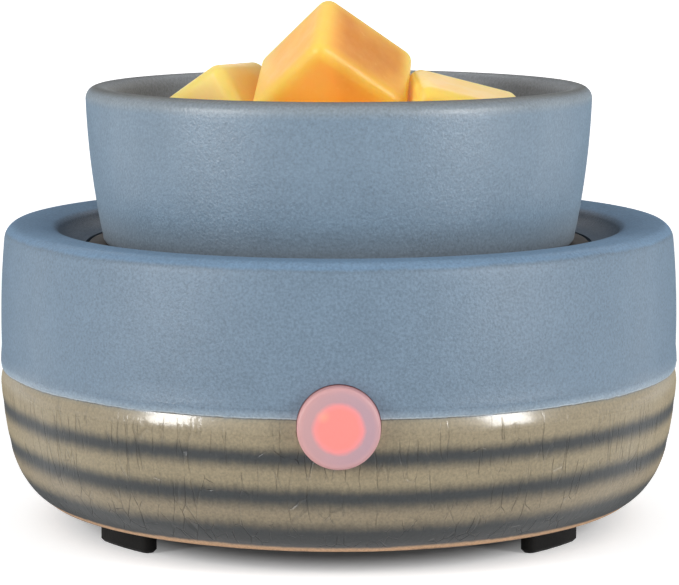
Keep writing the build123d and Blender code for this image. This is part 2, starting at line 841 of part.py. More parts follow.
# Push switch: a body on the board, and the plunger that the cap pushes
switch_front = board_front + switch_height
with BuildPart() as switch_body:
    with BuildSketch(front_plane(board_front)):
        Rectangle(switch_width, switch_width)
    extrude(amount=switch_height)
    with BuildSketch(front_plane(switch_front)):
        Circle(plunger_radius + plunger_gap)
    extrude(amount=-(plunger_reach + button_travel + switch_slack), mode=Mode.SUBTRACT)
save(switch_body, "switch_body")

with BuildPart() as switch_plunger:
    with BuildSketch(front_plane(switch_front - plunger_reach)):
        Circle(plunger_radius)
    extrude(amount=boss_end + plunger_sunk - switch_front + plunger_reach)
save(switch_plunger, "switch_plunger")

# Two lamps beside the switch
with BuildPart() as indicator_leds:
    for side in (-1, 1):
        with BuildSketch(front_plane(board_front)):
            with Locations((side * led_offset, 0)):
                Circle(led_radius)
        extrude(amount=led_length - led_radius)
        lamp_place = (side * led_offset, -(board_front + led_length - led_radius), button_z)
        with Locations(lamp_place):
            Sphere(led_radius)
save(indicator_leds, "indicator_leds")

# Supply parts on the back of the board, between its screws
capacitor_top = guide_boss_offset - board_head_radius - capacitor_gap
capacitor_height = capacitor_top - capacitor_base
capacitor_rise = capacitor_base + capacitor_height / 2
with BuildPart() as supply_capacitor:
    with BuildSketch(front_plane(board_back)):
        with Locations((0, capacitor_rise)):
            RectangleRounded(capacitor_length, capacitor_height, capacitor_round)
    extrude(amount=-capacitor_depth)
save(supply_capacitor, "supply_capacitor")

with BuildPart() as supply_resistor:
    resistor_z = button_z - resistor_drop_share * guide_boss_offset
    with BuildSketch(Plane.YZ.offset(-resistor_length / 2)):
        with Locations((-(board_back - resistor_radius), resistor_z)):
            Circle(resistor_radius)
    extrude(amount=resistor_length)
save(supply_resistor, "supply_resistor")

# Terminal block on its pad, with wire entries in the front and clamp screw wells on top
terminal_top_z = pad_top_z + terminal_height
terminal_front = terminal_setback - terminal_depth / 2
with BuildPart() as terminal_block:
    with BuildSketch(Plane.XY.offset(pad_top_z)):
        with Locations((0, terminal_setback)):
            Rectangle(terminal_length, terminal_depth)
    extrude(amount=terminal_height)
    with BuildSketch(Plane.XY.offset(terminal_top_z)):
        with Locations((0, terminal_setback)):
            with GridLocations(terminal_pitch, 0, terminal_count, 1):
                Circle(terminal_well_radius)
    extrude(amount=-terminal_well_depth, mode=Mode.SUBTRACT)
    for face_y, inward in ((terminal_front, -1), (terminal_setback + terminal_depth / 2, 1)):
        with BuildSketch(Plane.XZ.offset(-face_y)):
            with Locations((0, pad_top_z + terminal_entry_rise)):
                with GridLocations(terminal_pitch, 0, terminal_count, 1):
                    Circle(terminal_entry_radius)
        extrude(amount=inward * terminal_entry_depth, mode=Mode.SUBTRACT)
save(terminal_block, "terminal_block")

# Sleeved wires: terminal to thermostat to heater to fuse to terminal, and one to the board
entry_z = pad_top_z + terminal_entry_rise
entry_end_y = terminal_front + terminal_entry_depth
middle_z, high_z = (entry_z + share * (blade_end_z - entry_z) for share in wire_height_shares)
lead_end_y = fuse_length / 2 + fuse_lead_length
feed_end = (-terminal_pitch, entry_end_y, entry_z)
return_end = (terminal_pitch, entry_end_y, entry_z)
board_feed_end = (0, entry_end_y, entry_z)
board_wire_end = (-supply_side, -board_back, button_z - supply_drop)
thermostat_sleeve_z = thermostat_end_z - thermostat_blade_length - sleeve_tail
heater_sleeve_z = blade_end_z - sleeve_tail
low_z = pad_top_z + wire_low_share * (thermostat_sleeve_z - pad_top_z)
wire_turn = min(wire_bend, wire_bend_share * (thermostat_sleeve_z - low_z))
wire_routes = (
    (
        (*thermostat_blades[1], thermostat_sleeve_z),
        (*thermostat_blades[1], low_z),
        (-terminal_pitch, entry_end_y - 2 * wire_slack, entry_z),
        feed_end,
    ),
    (
        (*thermostat_blades[0], thermostat_sleeve_z),
        (*thermostat_blades[0], low_z),
        (*blade_places[0], low_z),
        (*blade_places[0], heater_sleeve_z),
    ),
    (
        (fuse_offset, -lead_end_y - crimp_tail, fuse_z),
        (fuse_offset, -lead_end_y - crimp_tail - wire_slack, fuse_z),
        (fuse_offset, -lead_end_y - crimp_tail - wire_slack, middle_z),
        (*blade_places[1], middle_z),
        (*blade_places[1], heater_sleeve_z),
    ),
    (
        (fuse_offset, lead_end_y + crimp_tail, fuse_z),
        (fuse_offset, lead_end_y + crimp_tail + wire_slack, fuse_z),
        (terminal_pitch, entry_end_y - 2 * wire_slack, high_z),
        (terminal_pitch, entry_end_y - 2 * wire_slack, entry_z),
        return_end,
    ),
    (
        board_feed_end,
        (0, entry_end_y - 2 * wire_slack, entry_z),
        (-supply_side, -board_back + wire_slack, button_z - supply_drop),
        board_wire_end,
    ),
)
with BuildPart() as heater_leads:
    for route in wire_routes:
        with BuildLine() as wire_path:
            FilletPolyline(*route, radius=wire_turn)
        with BuildSketch(Plane(origin=wire_path.line @ 0, z_dir=wire_path.line % 0)):
            Circle(wire_radius)
        sweep(path=wire_path.line)
    for places, blade_tip_z in (
        (thermostat_blades, thermostat_end_z - thermostat_blade_length),
        (blade_places, blade_end_z),
    ):
        with BuildSketch(Plane.XY.offset(blade_tip_z - sleeve_tail)):
            with Locations(*places):
                Rectangle(
                    blade_width + 2 * (sleeve_gap + sleeve_wall),
                    blade_thickness + 2 * (sleeve_gap + sleeve_wall),
                )
        extrude(amount=sleeve_tail + sleeve_grip)
        with BuildSketch(Plane.XY.offset(blade_tip_z)):
            with Locations(*places):
                Rectangle(blade_width + 2 * sleeve_gap, blade_thickness + 2 * sleeve_gap)
        extrude(amount=sleeve_grip, mode=Mode.SUBTRACT)
    for side in (-1, 1):
        with BuildSketch(Plane.XZ.offset(-side * (lead_end_y + crimp_tail))):
            with Locations((fuse_offset, fuse_z)):
                Circle(crimp_radius)
        extrude(amount=side * (crimp_tail + crimp_grip))
        with BuildSketch(Plane.XZ.offset(-side * lead_end_y)):
            with Locations((fuse_offset, fuse_z)):
                Circle(fuse_lead_radius + sleeve_gap)
        extrude(amount=side * crimp_grip, mode=Mode.SUBTRACT)
save(heater_leads, "heater_leads")

# Rubber gland: a grooved bush that grips the edge of the cord hole
with BuildPart() as cord_gland:
    gland_end = gland_outer_seat + gland_flange
    gland_start = gland_inner_face - gland_inner_flange
    with BuildSketch(gland_side):
        with BuildLine():
            Polyline(
                (gland_start, gland_bore_radius),
                (gland_start, gland_inner_radius),
                (gland_inner_face, gland_inner_radius),
                (gland_inner_face, gland_neck_radius),
                (gland_outer_seat, gland_neck_radius),
                (gland_outer_seat, gland_flange_radius),
                (gland_end - gland_round, gland_flange_radius),
                (gland_end, gland_flange_radius - gland_round),
                (gland_end, gland_bore_radius),
                close=True,
            )
        make_face()
    revolve(axis=gland_axis)
save(cord_gland, "cord_gland")

# Wax melts: drafted blocks with rounded edges, heaped in the dish
melt_lies = {
    "wax_melt_top": (top_melt_shares, top_melt_angles),
    "wax_melt_left": (left_melt_shares, left_melt_angles),
    "wax_melt_right": (right_melt_shares, right_melt_angles),
    "wax_melt_lower": (lower_melt_shares, lower_melt_angles),
}
for melt_name, (place_shares, turns) in melt_lies.items():
    x, y, z = (share * melt_width for share in place_shares)
    melt_plane = Plane(Location((x, y, dish_floor_z + z), turns))
    with BuildPart() as melt:
        with BuildSketch(melt_plane.offset(-melt_depth / 2)):
            Rectangle(melt_width, melt_width)
        extrude(amount=melt_depth, taper=melt_draft_angle)
        fillet(melt.edges(), radius=melt_round)
    save(melt, melt_name)
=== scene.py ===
# %% [markdown]
# # A wax melt warmer
# The real object is a squat stoneware warmer: a turned body with a blue glaze above and a
# crackled olive glaze below, a loose dish on a hot plate, three wax melts and a lit button.
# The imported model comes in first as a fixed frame. It could be rebuilt from nothing here,
# but the frame already says where each piece stands, so every new piece is made to its places.

# %% Load the frame
from math import atan2, cos, hypot, pi, radians, sin

import bmesh
import bpy
from mathutils import Matrix, Vector


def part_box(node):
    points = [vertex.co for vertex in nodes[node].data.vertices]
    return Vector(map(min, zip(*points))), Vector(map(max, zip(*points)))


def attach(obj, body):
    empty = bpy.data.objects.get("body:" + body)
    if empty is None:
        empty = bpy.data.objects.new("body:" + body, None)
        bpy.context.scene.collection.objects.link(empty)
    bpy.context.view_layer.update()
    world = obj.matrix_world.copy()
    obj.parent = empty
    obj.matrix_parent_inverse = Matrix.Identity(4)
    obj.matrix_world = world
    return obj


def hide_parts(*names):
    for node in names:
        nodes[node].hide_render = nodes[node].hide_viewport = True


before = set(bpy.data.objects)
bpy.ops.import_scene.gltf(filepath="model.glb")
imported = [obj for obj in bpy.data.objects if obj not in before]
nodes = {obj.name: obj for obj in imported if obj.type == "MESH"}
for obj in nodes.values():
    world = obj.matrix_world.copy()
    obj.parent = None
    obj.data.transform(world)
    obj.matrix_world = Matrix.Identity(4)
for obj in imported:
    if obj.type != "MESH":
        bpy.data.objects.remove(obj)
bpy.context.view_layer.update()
print("nodes in the frame:", len(nodes))

# %% [markdown]
# ## The view
# The photograph looks slightly down on the front, through a long lens. The distance and the
# pitch could be tried by eye, but they were fitted to the ellipses of the rim and the dish.

# %% Camera
camera_data = bpy.data.cameras.new("camera")
camera_data.sensor_width = 36
camera_data.lens = 153.2
camera_data.shift_x = 0.001
camera_data.clip_start = 0.01
camera = bpy.data.objects.new("camera", camera_data)
camera.location = (0, -0.5731, 0.12464)
camera.rotation_euler = (pi / 2 - 0.1392, 0, 0)
bpy.context.scene.collection.objects.link(camera)
bpy.context.scene.camera = camera
bpy.context.scene.view_settings.view_transform = "Standard"
print("camera at", tuple(camera.location))

# %% [markdown]
# ## Colours and nodes
# Colours are written as they are picked on screen, 0 to 255. Blender's shaders want linear
# light, so one helper turns them. The other helpers keep the node work to one line a node:
# a tree could be wired by hand in the editor, but in code a short name reads better.

# %% Colour and node helpers
def tone(red, green, blue):
    """A screen colour as the linear colour that a shader wants."""
    parts = [part / 255 for part in (red, green, blue)]
    linear = [p / 12.92 if p <= 0.04045 else ((p + 0.055) / 1.055) ** 2.4 for p in parts]
    return (*linear, 1)


def new_finish(name):
    finish = bpy.data.materials.new(name)
    finish.use_nodes = True
    return finish, finish.node_tree, finish.node_tree.nodes["Principled BSDF"]


def add_node(tree, kind, values=None, **settings):
    """Adds a node, sets its options and fills or links its inputs."""
    node = tree.nodes.new("ShaderNode" + kind)
    for key, value in settings.items():
        setattr(node, key, value)
    for key, value in (values or {}).items():
        if isinstance(value, bpy.types.NodeSocket):
            tree.links.new(value, node.inputs[key])
        else:
            node.inputs[key].default_value = value
    return node


def maths(tree, operation, first, second=0.0):
    return add_node(tree, "Math", {0: first, 1: second}, operation=operation).outputs[0]


def times(tree, first, second):
    return maths(tree, "MULTIPLY", first, second)


def plus(tree, first, second):
    return maths(tree, "ADD", first, second)


def minus(tree, first, second):
    return maths(tree, "SUBTRACT", first, second)


def length_of(tree, first, second):
    """The long side of the right triangle on two values, such as x and y."""
    return maths(tree, "SQRT", plus(tree, times(tree, first, first), times(tree, second, second)))


def spread(tree, value, low, high, to_low=0.0, to_high=1.0, way="LINEAR"):
    """Stretches low..high of a value to to_low..to_high and holds it there."""
    values = {0: value, 1: low, 2: high, 3: to_low, 4: to_high}
    return add_node(tree, "MapRange", values, interpolation_type=way).outputs[0]


def mix_colours(tree, share, first, second, mode="MIX"):
    node = add_node(tree, "Mix", data_type="RGBA", blend_type=mode)
    for key, value in ((0, share), (6, first), (7, second)):
        if isinstance(value, bpy.types.NodeSocket):
            tree.links.new(value, node.inputs[key])
        else:
            node.inputs[key].default_value = value
    return node.outputs[2]


def colour_steps(tree, value, stops, way="LINEAR"):
    """A colour ramp from (place, colour) stops."""
    node = add_node(tree, "ValToRGB", {0: value})
    ramp = node.color_ramp
    ramp.interpolation = way
    ramp.elements[0].position, ramp.elements[0].color = stops[0]
    ramp.elements[1].position, ramp.elements[1].color = stops[-1]
    for place, colour in stops[1:-1]:
        ramp.elements.new(place).color = colour
    return node.outputs[0]


def noise(tree, where, scale, detail=2.0, roughness=0.5):
    values = {"Vector": where, "Scale": scale, "Detail": detail, "Roughness": roughness}
    return add_node(tree, "TexNoise", values).outputs[0]


def cloudy(tree, where, scale, detail, low, high, roughness=0.5):
    """Noise, stretched to run from low to high."""
    return spread(tree, noise(tree, where, scale, detail, roughness), 0.3, 0.7, low, high)


def shaded(tree, colour, shade):
    """The colour made lighter or darker by a grey value."""
    grey = add_node(tree, "CombineColor", {0: shade, 1: shade, 2: shade}).outputs[0]
    return mix_colours(tree, 1.0, colour, grey, "MULTIPLY")


def shows_background(tree):
    """1 where the camera looks, straight, by reflection or through something clear."""
    seen = add_node(tree, "LightPath").outputs
    straight_or_mirrored = maths(tree, "MAXIMUM", seen["Is Camera Ray"], seen["Is Glossy Ray"])
    return maths(tree, "MAXIMUM", straight_or_mirrored, seen["Is Transmission Ray"])


def relief(tree, height, depth, before=None):
    """A bump of that depth in metres."""
    values = {"Strength": 1.0, "Distance": depth, "Height": height}
    if before is not None:
        values["Normal"] = before
    return add_node(tree, "Bump", values).outputs[0]


def places(tree):
    """The object coordinates, and their x, y and z apart."""
    where = add_node(tree, "TexCoord").outputs["Object"]
    apart = add_node(tree, "SeparateXYZ", {0: where})
    return where, apart.outputs[0], apart.outputs[1], apart.outputs[2]


print("mid grey in linear light:", round(tone(128, 128, 128)[0], 3))

# %% [markdown]
# ## Studio
# The photograph has a white ground with a soft grey shadow at the feet, a big soft lamp on
# each side, and white all round. The floor could be lit until it is white, but that would
# wash out the glaze, so its white is added only where it is looked at, straight or in a
# reflection, and the shadow still falls on it. The world's light works the same way.

# %% Floor
bpy.ops.object.select_all(action="DESELECT")
FLOOR_SIDE = 10
bpy.ops.mesh.primitive_plane_add(size=FLOOR_SIDE)
floor = bpy.context.object
floor.name = "floor"
floor_finish, tree, shader = new_finish("floor_white")
shader.inputs["Base Color"].default_value = tone(236, 236, 236)
shader.inputs["Roughness"].default_value = 0.9
shader.inputs["Specular IOR Level"].default_value = 0.2
where, x, y, z = places(tree)
tree.links.new(relief(tree, noise(tree, where, 300, 3), 0.00005), shader.inputs["Normal"])
reach = add_node(tree, "VectorMath", {0: where}, operation="LENGTH").outputs["Value"]
# Close to the warmer this added white fades to nothing, so the grey round its feet is partly real shadow and
# partly painted shadow; further out the floor is white.
shadow_start, shadow_end = 0.040, 0.064
white_past_shadow = spread(tree, reach, shadow_start, shadow_end, 0.0, 0.60, "SMOOTHSTEP")
fade_start, fade_end = 0.3, 1.2
far_white = spread(tree, reach, fade_start, fade_end, 0.0, 0.5)
white_share = times(tree, shows_background(tree), plus(tree, white_past_shadow, far_white))
shader.inputs["Emission Color"].default_value = (1, 1, 1, 1)
tree.links.new(white_share, shader.inputs["Emission Strength"])
floor.data.materials.append(floor_finish)
print("floor side:", floor.dimensions.x, "m")

# %% World light
world = bpy.data.worlds.new("studio")
world.use_nodes = True
bpy.context.scene.world = world
tree = world.node_tree
ROOM_LIGHT = 0.15
ground = tree.nodes["Background"]
ground.inputs["Color"].default_value = (1, 1, 1, 1)
tree.links.new(spread(tree, shows_background(tree), 0, 1, ROOM_LIGHT, 1.0), ground.inputs["Strength"])
print("world light:", ROOM_LIGHT, "seen as 1")

# %% Lamps
def soft_lamp(name, azimuth, elevation, distance, size, watts):
    """An oblong soft lamp aimed at the warmer, azimuth 0 in front and 90 at the picture's right."""
    data = bpy.data.lights.new(name, "AREA")
    data.shape = "RECTANGLE"
    data.size, data.size_y = size
    data.energy = watts
    lamp = bpy.data.objects.new(name, data)
    turn, rise = radians(azimuth), radians(elevation)
    way = Vector((sin(turn) * cos(rise), -cos(turn) * cos(rise), sin(rise)))
    lamp.location = Vector((0, 0, 0.04)) + way * distance
    lamp.rotation_euler = way.to_track_quat("Z", "Y").to_euler()
    bpy.context.scene.collection.objects.link(lamp)
    print(name, "at", [round(part, 3) for part in lamp.location], watts, "W")


soft_lamp("lamp_left", -56, 17, 0.9, (0.24, 0.52), 5.8)
soft_lamp("lamp_right", 56, 17, 0.9, (0.24, 0.52), 5.8)
soft_lamp("lamp_top", 0, 85, 1.0, (0.8, 0.8), 1.5)
soft_lamp("lamp_back", 180, 35, 1.3, (0.9, 0.5), 1.6)

# %% [markdown]
# ## Turning on a lathe
# The body and the dish are jiggered or turned in real life, so they are turned here too.
# A wall could be pulled up ring by ring from a circle, which is slow for a long outline.
# Here one point is extruded along half the outline, and the spin operator turns it.

# %% Outline helpers
MM = 0.001


def bend_through(start, middle, end, steps):
    """Points on the arc from start through middle to end, without the first."""
    (ax, ay), (bx, by), (cx, cy) = start, middle, end
    d = 2 * (ax * (by - cy) + bx * (cy - ay) + cx * (ay - by))
    a2, b2, c2 = ax**2 + ay**2, bx**2 + by**2, cx**2 + cy**2
    ox = (a2 * (by - cy) + b2 * (cy - ay) + c2 * (ay - by)) / d
    oy = (a2 * (cx - bx) + b2 * (ax - cx) + c2 * (bx - ax)) / d
    radius = hypot(ax - ox, ay - oy)
    first, mid, last = (atan2(py - oy, px - ox) for px, py in (start, middle, end))
    turn = (last - first) % (2 * pi)
    if (mid - first) % (2 * pi) > turn:
        turn -= 2 * pi
    return [
        (ox + radius * cos(first + turn * k / steps), oy + radius * sin(first + turn * k / steps))
        for k in range(1, steps + 1)
    ]


def bend_from(start, heading, end, steps):
    """Points on the arc that leaves start along heading and ends at end."""
    normal = (-heading[1], heading[0])
    chord = (end[0] - start[0], end[1] - start[1])
    reach = (chord[0] ** 2 + chord[1] ** 2) / (2 * (normal[0] * chord[0] + normal[1] * chord[1]))
    ox, oy = start[0] + normal[0] * reach, start[1] + normal[1] * reach
    first, last = atan2(start[1] - oy, start[0] - ox), atan2(end[1] - oy, end[0] - ox)
    turn = (last - first) % (2 * pi)
    if reach < 0:
        turn -= 2 * pi
    return [
        (ox + abs(reach) * cos(first + turn * k / steps), oy + abs(reach) * sin(first + turn * k / steps))
        for k in range(1, steps + 1)
    ]


def straight(start, end, steps):
    return [
        (start[0] + (end[0] - start[0]) * k / steps, start[1] + (end[1] - start[1]) * k / steps)
        for k in range(1, steps + 1)
    ]


def heading_at_end(points):
    (ax, ay), (bx, by) = points[-2:]
    length = hypot(bx - ax, by - ay)
    return ((bx - ax) / length, (by - ay) / length)


print("bend test:", bend_through((1, 0), (0, 1), (-1, 0), 2))

# %% Lathe
def turned(name, outline, steps, closed=False, base=(0, 0, 0), axis="Z"):
    """Spins an outline of (radius, height) millimetres round Z, or round Y as a piece that
    faces the front, and returns the piece."""
    bpy.ops.object.select_all(action="DESELECT")
    (radius, height) = outline[0]
    bpy.ops.mesh.primitive_plane_add(size=MM, location=(radius * MM, 0, height * MM))
    piece = bpy.context.object
    piece.name = name
    bpy.ops.object.transform_apply(location=True, rotation=True, scale=True)
    bpy.ops.object.mode_set(mode="EDIT")
    bpy.ops.mesh.select_all(action="SELECT")
    bpy.ops.mesh.merge(type="CENTER")
    for (r0, z0), (r1, z1) in zip(outline, outline[1:]):
        step = ((r1 - r0) * MM, 0, (z1 - z0) * MM)
        bpy.ops.mesh.extrude_vertices_move(TRANSFORM_OT_translate={"value": step})
    if closed:
        bpy.ops.mesh.select_all(action="SELECT")
        bpy.ops.mesh.remove_doubles(threshold=0.000001)
    bpy.ops.mesh.select_all(action="SELECT")
    bpy.ops.mesh.spin(steps=steps, angle=2 * pi, center=(0, 0, 0), axis=(0, 0, 1))
    bpy.ops.mesh.select_all(action="SELECT")
    bpy.ops.mesh.remove_doubles(threshold=0.000002)
    bpy.ops.mesh.normals_make_consistent(inside=False)
    if axis == "Y":
        bpy.ops.transform.rotate(value=pi / 2, orient_axis="X", center_override=(0, 0, 0))
    if axis == "-Y":
        bpy.ops.transform.rotate(value=-pi / 2, orient_axis="X", center_override=(0, 0, 0))
    bpy.ops.transform.translate(value=[part * MM for part in base])
    bpy.ops.object.mode_set(mode="OBJECT")
    return piece


def smooth_over(piece, degrees):
    """Smooth shading, kept crisp at edges sharper than that angle."""
    bpy.ops.object.select_all(action="DESELECT")
    piece.select_set(True)
    bpy.context.view_layer.objects.active = piece
    bpy.ops.object.shade_smooth_by_angle(angle=radians(degrees))


def measure(piece):
    corners = [vertex.co for vertex in piece.data.vertices]
    low = [round(min(c[k] for c in corners) / MM, 2) for k in range(3)]
    high = [round(max(c[k] for c in corners) / MM, 2) for k in range(3)]
    print(piece.name, "from", low, "to", high, "mm,", len(piece.data.polygons), "faces")


def cut_away(piece, cutter):
    """Takes the cutter's shape out of the piece and deletes the cutter."""
    bpy.ops.object.select_all(action="DESELECT")
    piece.select_set(True)
    bpy.context.view_layer.objects.active = piece
    cut = piece.modifiers.new("cut", "BOOLEAN")
    cut.operation = "DIFFERENCE"
    cut.solver = "EXACT"
    cut.object = cutter
    bpy.ops.object.modifier_apply(modifier=cut.name)
    bpy.data.objects.remove(cutter)


print("lathe ready")

# %% [markdown]
# ## The stoneware body
# A hollow turned form, open below, with three shallow bands turned in its belly, a small
# step where the thick olive glaze ends, a heavy rolled rim and a recess for the hot plate.
# It could be a solid block with a hole, but the wall, ledge and foot ring are real on the
# warmer, so the whole section is drawn once and turned, and the two holes are cut after.

# %% Body outline
belly = [(58.5, 4.9)]
belly += bend_through(belly[-1], (58.95, 4.95), (59.3, 5.25), 4)
belly += bend_through(belly[-1], (61.25, 6.75), (63.0, 8.75), 10)
belly += bend_through(belly[-1], (64.45, 11.5), (65.6, 14.9), 14)
belly += bend_through(belly[-1], (66.70, 21.0), (67.42, 27.8), 28)
belly += bend_from(belly[-1], (0, 1), (66.96, 30.45), 12)
belly += [(66.92, 30.60), (67.10, 30.80)]
upper = [belly[-1], (67.30, 31.1), (67.43, 32.0), (67.36, 33.4), (67.2, 35.2)]
upper += bend_through(upper[-1], (67.20, 42.49), (66.40, 56.21), 16)
upper += bend_from(upper[-1], heading_at_end(upper), (64.60, 58.82), 7)
upper += bend_through(upper[-1], (60.68, 58.9), (56.95, 58.4), 8)
upper += bend_from(upper[-1], heading_at_end(upper), (55.61, 57.18), 6)
cove = list(reversed(bend_from((51.6, 54.9), (1, 0), upper[-1], 8)))[1:] + [(51.6, 54.9)]
ledge = [(50.4, 54.9), (50.4, 51.7), (43.5, 51.7), (43.5, 47.0), (52.0, 47.0), (55.0, 50.5)]
cavity = [(56.4, 50.5)] + bend_from((56.4, 50.5), (1, 0), (62.4, 44.5), 8)
cavity += [(62.4, 20.4)] + bend_from((62.4, 20.4), (0, -1), (53.4, 11.4), 8)
foot_ring = [(49.79, 11.4), (49.79, 7.9), (55.49, 7.9), (55.49, 4.9), (58.5, 4.9)]
BAND_MIDDLES, BAND_REACH, BAND_DEPTH = (8.8, 16.2, 23.7), 1.9, 0.08


def pressed(point):
    """The belly's point with the shallow bands turned into it."""
    radius, height = point
    for middle in BAND_MIDDLES:
        off = abs(height - middle)
        if off < BAND_REACH:
            radius -= BAND_DEPTH * 0.5 * (1 + cos(pi * off / BAND_REACH))
    return (radius, height)


body_outline = [pressed(point) for point in belly] + upper[1:] + cove + ledge + cavity + foot_ring
print("points on the body's outline:", len(body_outline))

# %% Turn the body and cut its holes
body = turned("glazed_body", body_outline, 240, closed=True)
BUTTON_Z = 29.604
hole_outline = [(0, 50), (7.62, 50), (7.62, 66.8)]
hole_outline += bend_from((7.62, 66.8), (0, 1), (7.95, 67.45), 8) + [(8.1, 70), (0, 70)]
cut_away(body, turned("button_cutter", hole_outline, 96, base=(0, 0, BUTTON_Z), axis="-Y"))
GLAND_Z = 22.0
seat_outline = [(0, 58), (5.8, 58), (5.8, 62.0), (4.1, 62.0)]
seat_outline += [(4.1, 65.8), (6.4, 65.8), (6.4, 70), (0, 70)]
cut_away(body, turned("gland_cutter", seat_outline, 72, base=(0, 0, GLAND_Z), axis="Y"))
smooth_over(body, 32)
measure(body)

# %% [markdown]
# ## The dish
# A loose bowl with nearly upright walls, a full round rim and a low foot ring. Its wall
# could be a shell given thickness, but the rim is thicker than the foot, so it is turned
# from a whole section as well.

# %% Turn the dish
dish_outline = [(0, 59.8), (31.44, 59.8)]
dish_outline += bend_from((31.44, 59.8), (1, 0), (43.31, 70.05), 14)
dish_outline += straight(dish_outline[-1], (45.3, 83.6), 6)
dish_outline += bend_through(dish_outline[-1], (47.7, 86.0), (50.1, 83.6), 16)
dish_outline += bend_through((50.1, 83.6), (49.0, 69.3), (46.9, 56.4), 18)
dish_outline += bend_from((46.9, 56.4), (0, -1), (45.4, 54.9), 6)
dish_outline += [(39.9, 54.9), (39.9, 55.5), (0, 55.5)]
dish = turned("melt_dish", dish_outline, 240)
smooth_over(dish, 40)
measure(dish)

# %% [markdown]
# ## The push button
# A frosted cap, slightly crowned, that stands a little proud of the glaze and slides in a
# guide behind the wall. A short cylinder with a bevel would pass from the front, but the
# cap is hollow behind, with a rim that stops it and a stem for the switch, and those show
# when it comes out. So its whole section is turned about the axis that points to the front.

# %% Turn the button
button_outline = [(0, 69.9)] + bend_through((0, 69.9), (3.35, 69.81), (6.7, 69.55), 12)
button_outline += bend_from(button_outline[-1], (1, 0), (7.5, 68.75), 6)
button_outline += [(7.5, 59.155), (8.6, 59.155), (8.6, 57.955), (6.3, 57.955), (6.3, 67.75)]
button_outline += [(2.8, 67.75), (2.8, 59.205), (1.65, 59.205), (1.65, 62.405), (0, 62.405)]
button = turned("frosted_button", button_outline, 120, base=(0, 0, BUTTON_Z), axis="-Y")
smooth_over(button, 35)
measure(button)

# %% [markdown]
# ## The cord bush
# A rubber bush with two flanges grips the edge of the cord hole at the rear. It could be two
# rings and a tube, but it is moulded in one, so one closed section is turned for it.

# %% Turn the bush
bush_outline = [(3.1, 60.4), (5.4, 60.4), (5.4, 62.0), (4.0, 62.0), (4.0, 65.8), (6.0, 65.8)]
bush_outline += [(6.0, 67.7)] + bend_from((6.0, 67.7), (0, 1), (5.3, 68.4), 5)
bush_outline += [(3.6, 68.4)] + bend_from((3.6, 68.4), (-1, 0), (3.1, 67.9), 4) + [(3.1, 60.4)]
bush = turned("cord_bush", bush_outline, 72, closed=True, base=(0, 0, GLAND_Z), axis="Y")
smooth_over(bush, 35)
measure(bush)

# %% [markdown]
# ## The wax melts
# The melts are poured in a mould, so they are drafted blocks with soft edges. A sphere or
# a remeshed lump would lose their straight sides. A cube is drawn in at the top, bevelled,
# and its flat faces are inset, so that the shading turns near the edges alone. It is
# modelled once, and each copy gets its own mesh and lies as it does in the heap.

# %% Model one melt
MELT_WIDTH, MELT_DEPTH, MELT_ROUND = 23.3, 18.0, 2.5
DRAFT_DEGREES = 1.0
FLAT_FACE_AREA = 0.00002
bpy.ops.object.select_all(action="DESELECT")
bpy.ops.mesh.primitive_cube_add(size=MM)
melt = bpy.context.object
melt.name = "melt_pattern"
melt.scale = (MELT_WIDTH, MELT_WIDTH, MELT_DEPTH)
bpy.ops.object.transform_apply(location=True, rotation=True, scale=True)
bpy.ops.object.mode_set(mode="EDIT")
bpy.ops.mesh.select_all(action="DESELECT")
grown = bmesh.from_edit_mesh(melt.data)
for face in grown.faces:
    face.select_set(face.normal.z > 0.9)
bmesh.update_edit_mesh(melt.data)
top_share = 1 - 2 * MELT_DEPTH * sin(radians(DRAFT_DEGREES)) / MELT_WIDTH
top_middle = (0, 0, MELT_DEPTH / 2 * MM)
bpy.ops.transform.resize(value=(top_share, top_share, 1), center_override=top_middle)
bpy.ops.mesh.select_all(action="SELECT")
bpy.ops.mesh.bevel(offset=MELT_ROUND * MM, segments=9, profile=0.5, affect="EDGES")
bpy.ops.mesh.select_all(action="DESELECT")
grown = bmesh.from_edit_mesh(melt.data)
for face in grown.faces:
    face.select_set(face.calc_area() > FLAT_FACE_AREA)
bmesh.update_edit_mesh(melt.data)
bpy.ops.mesh.inset(thickness=1.2 * MM)
bpy.ops.mesh.inset(thickness=1.0 * MM)
bpy.ops.object.mode_set(mode="OBJECT")
smooth_over(melt, 60)
measure(melt)

# %% Mark the thin edges, where a glow is painted
GLOW_REACH = 4.0
halves = (MELT_WIDTH / 2, MELT_WIDTH / 2, MELT_DEPTH / 2)
thin = melt.data.attributes.new("painted_edge_glow", "FLOAT", "POINT")
for vertex in melt.data.vertices:
    inward = sorted(half - abs(part) / MM for half, part in zip(halves, vertex.co))
    thin.data[vertex.index].value = max(0.0, 1.0 - inward[1] / GLOW_REACH)
print("edge marks:", len(thin.data))

# %% Lay the melts in the dish
melt_lies = {
    "wax_melt_top": ((-1.17, -2.26, 86.21), (-55.4, 6.0, 38.0)),
    "wax_melt_left": ((-22.83, 4.78, 75.05), (-89.2, 29.4, -32.9)),
    "wax_melt_right": ((23.01, -4.28, 74.56), (-78.6, -6.8, 16.2)),
    "wax_melt_lower": ((-1.60, -18.73, 68.80), (0.0, 0.0, 1.0)),
}
melts = {}
for node_name, (middle, turns) in melt_lies.items():
    copy = bpy.data.objects.new(node_name.replace("wax_melt", "poured_melt"), melt.data.copy())
    bpy.context.scene.collection.objects.link(copy)
    ax, ay, az = (radians(turn) for turn in turns)
    lie = Matrix.Rotation(ax, 4, "X") @ Matrix.Rotation(ay, 4, "Y") @ Matrix.Rotation(az, 4, "Z")
    copy.data.transform(Matrix.Translation(Vector(middle) * MM) @ lie)
    melts[node_name] = copy
    low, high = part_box(node_name)
    print(node_name, "frame from", *(tuple(round(v / MM, 2) for v in corner) for corner in (low, high)))
    measure(copy)
bpy.data.objects.remove(melt)

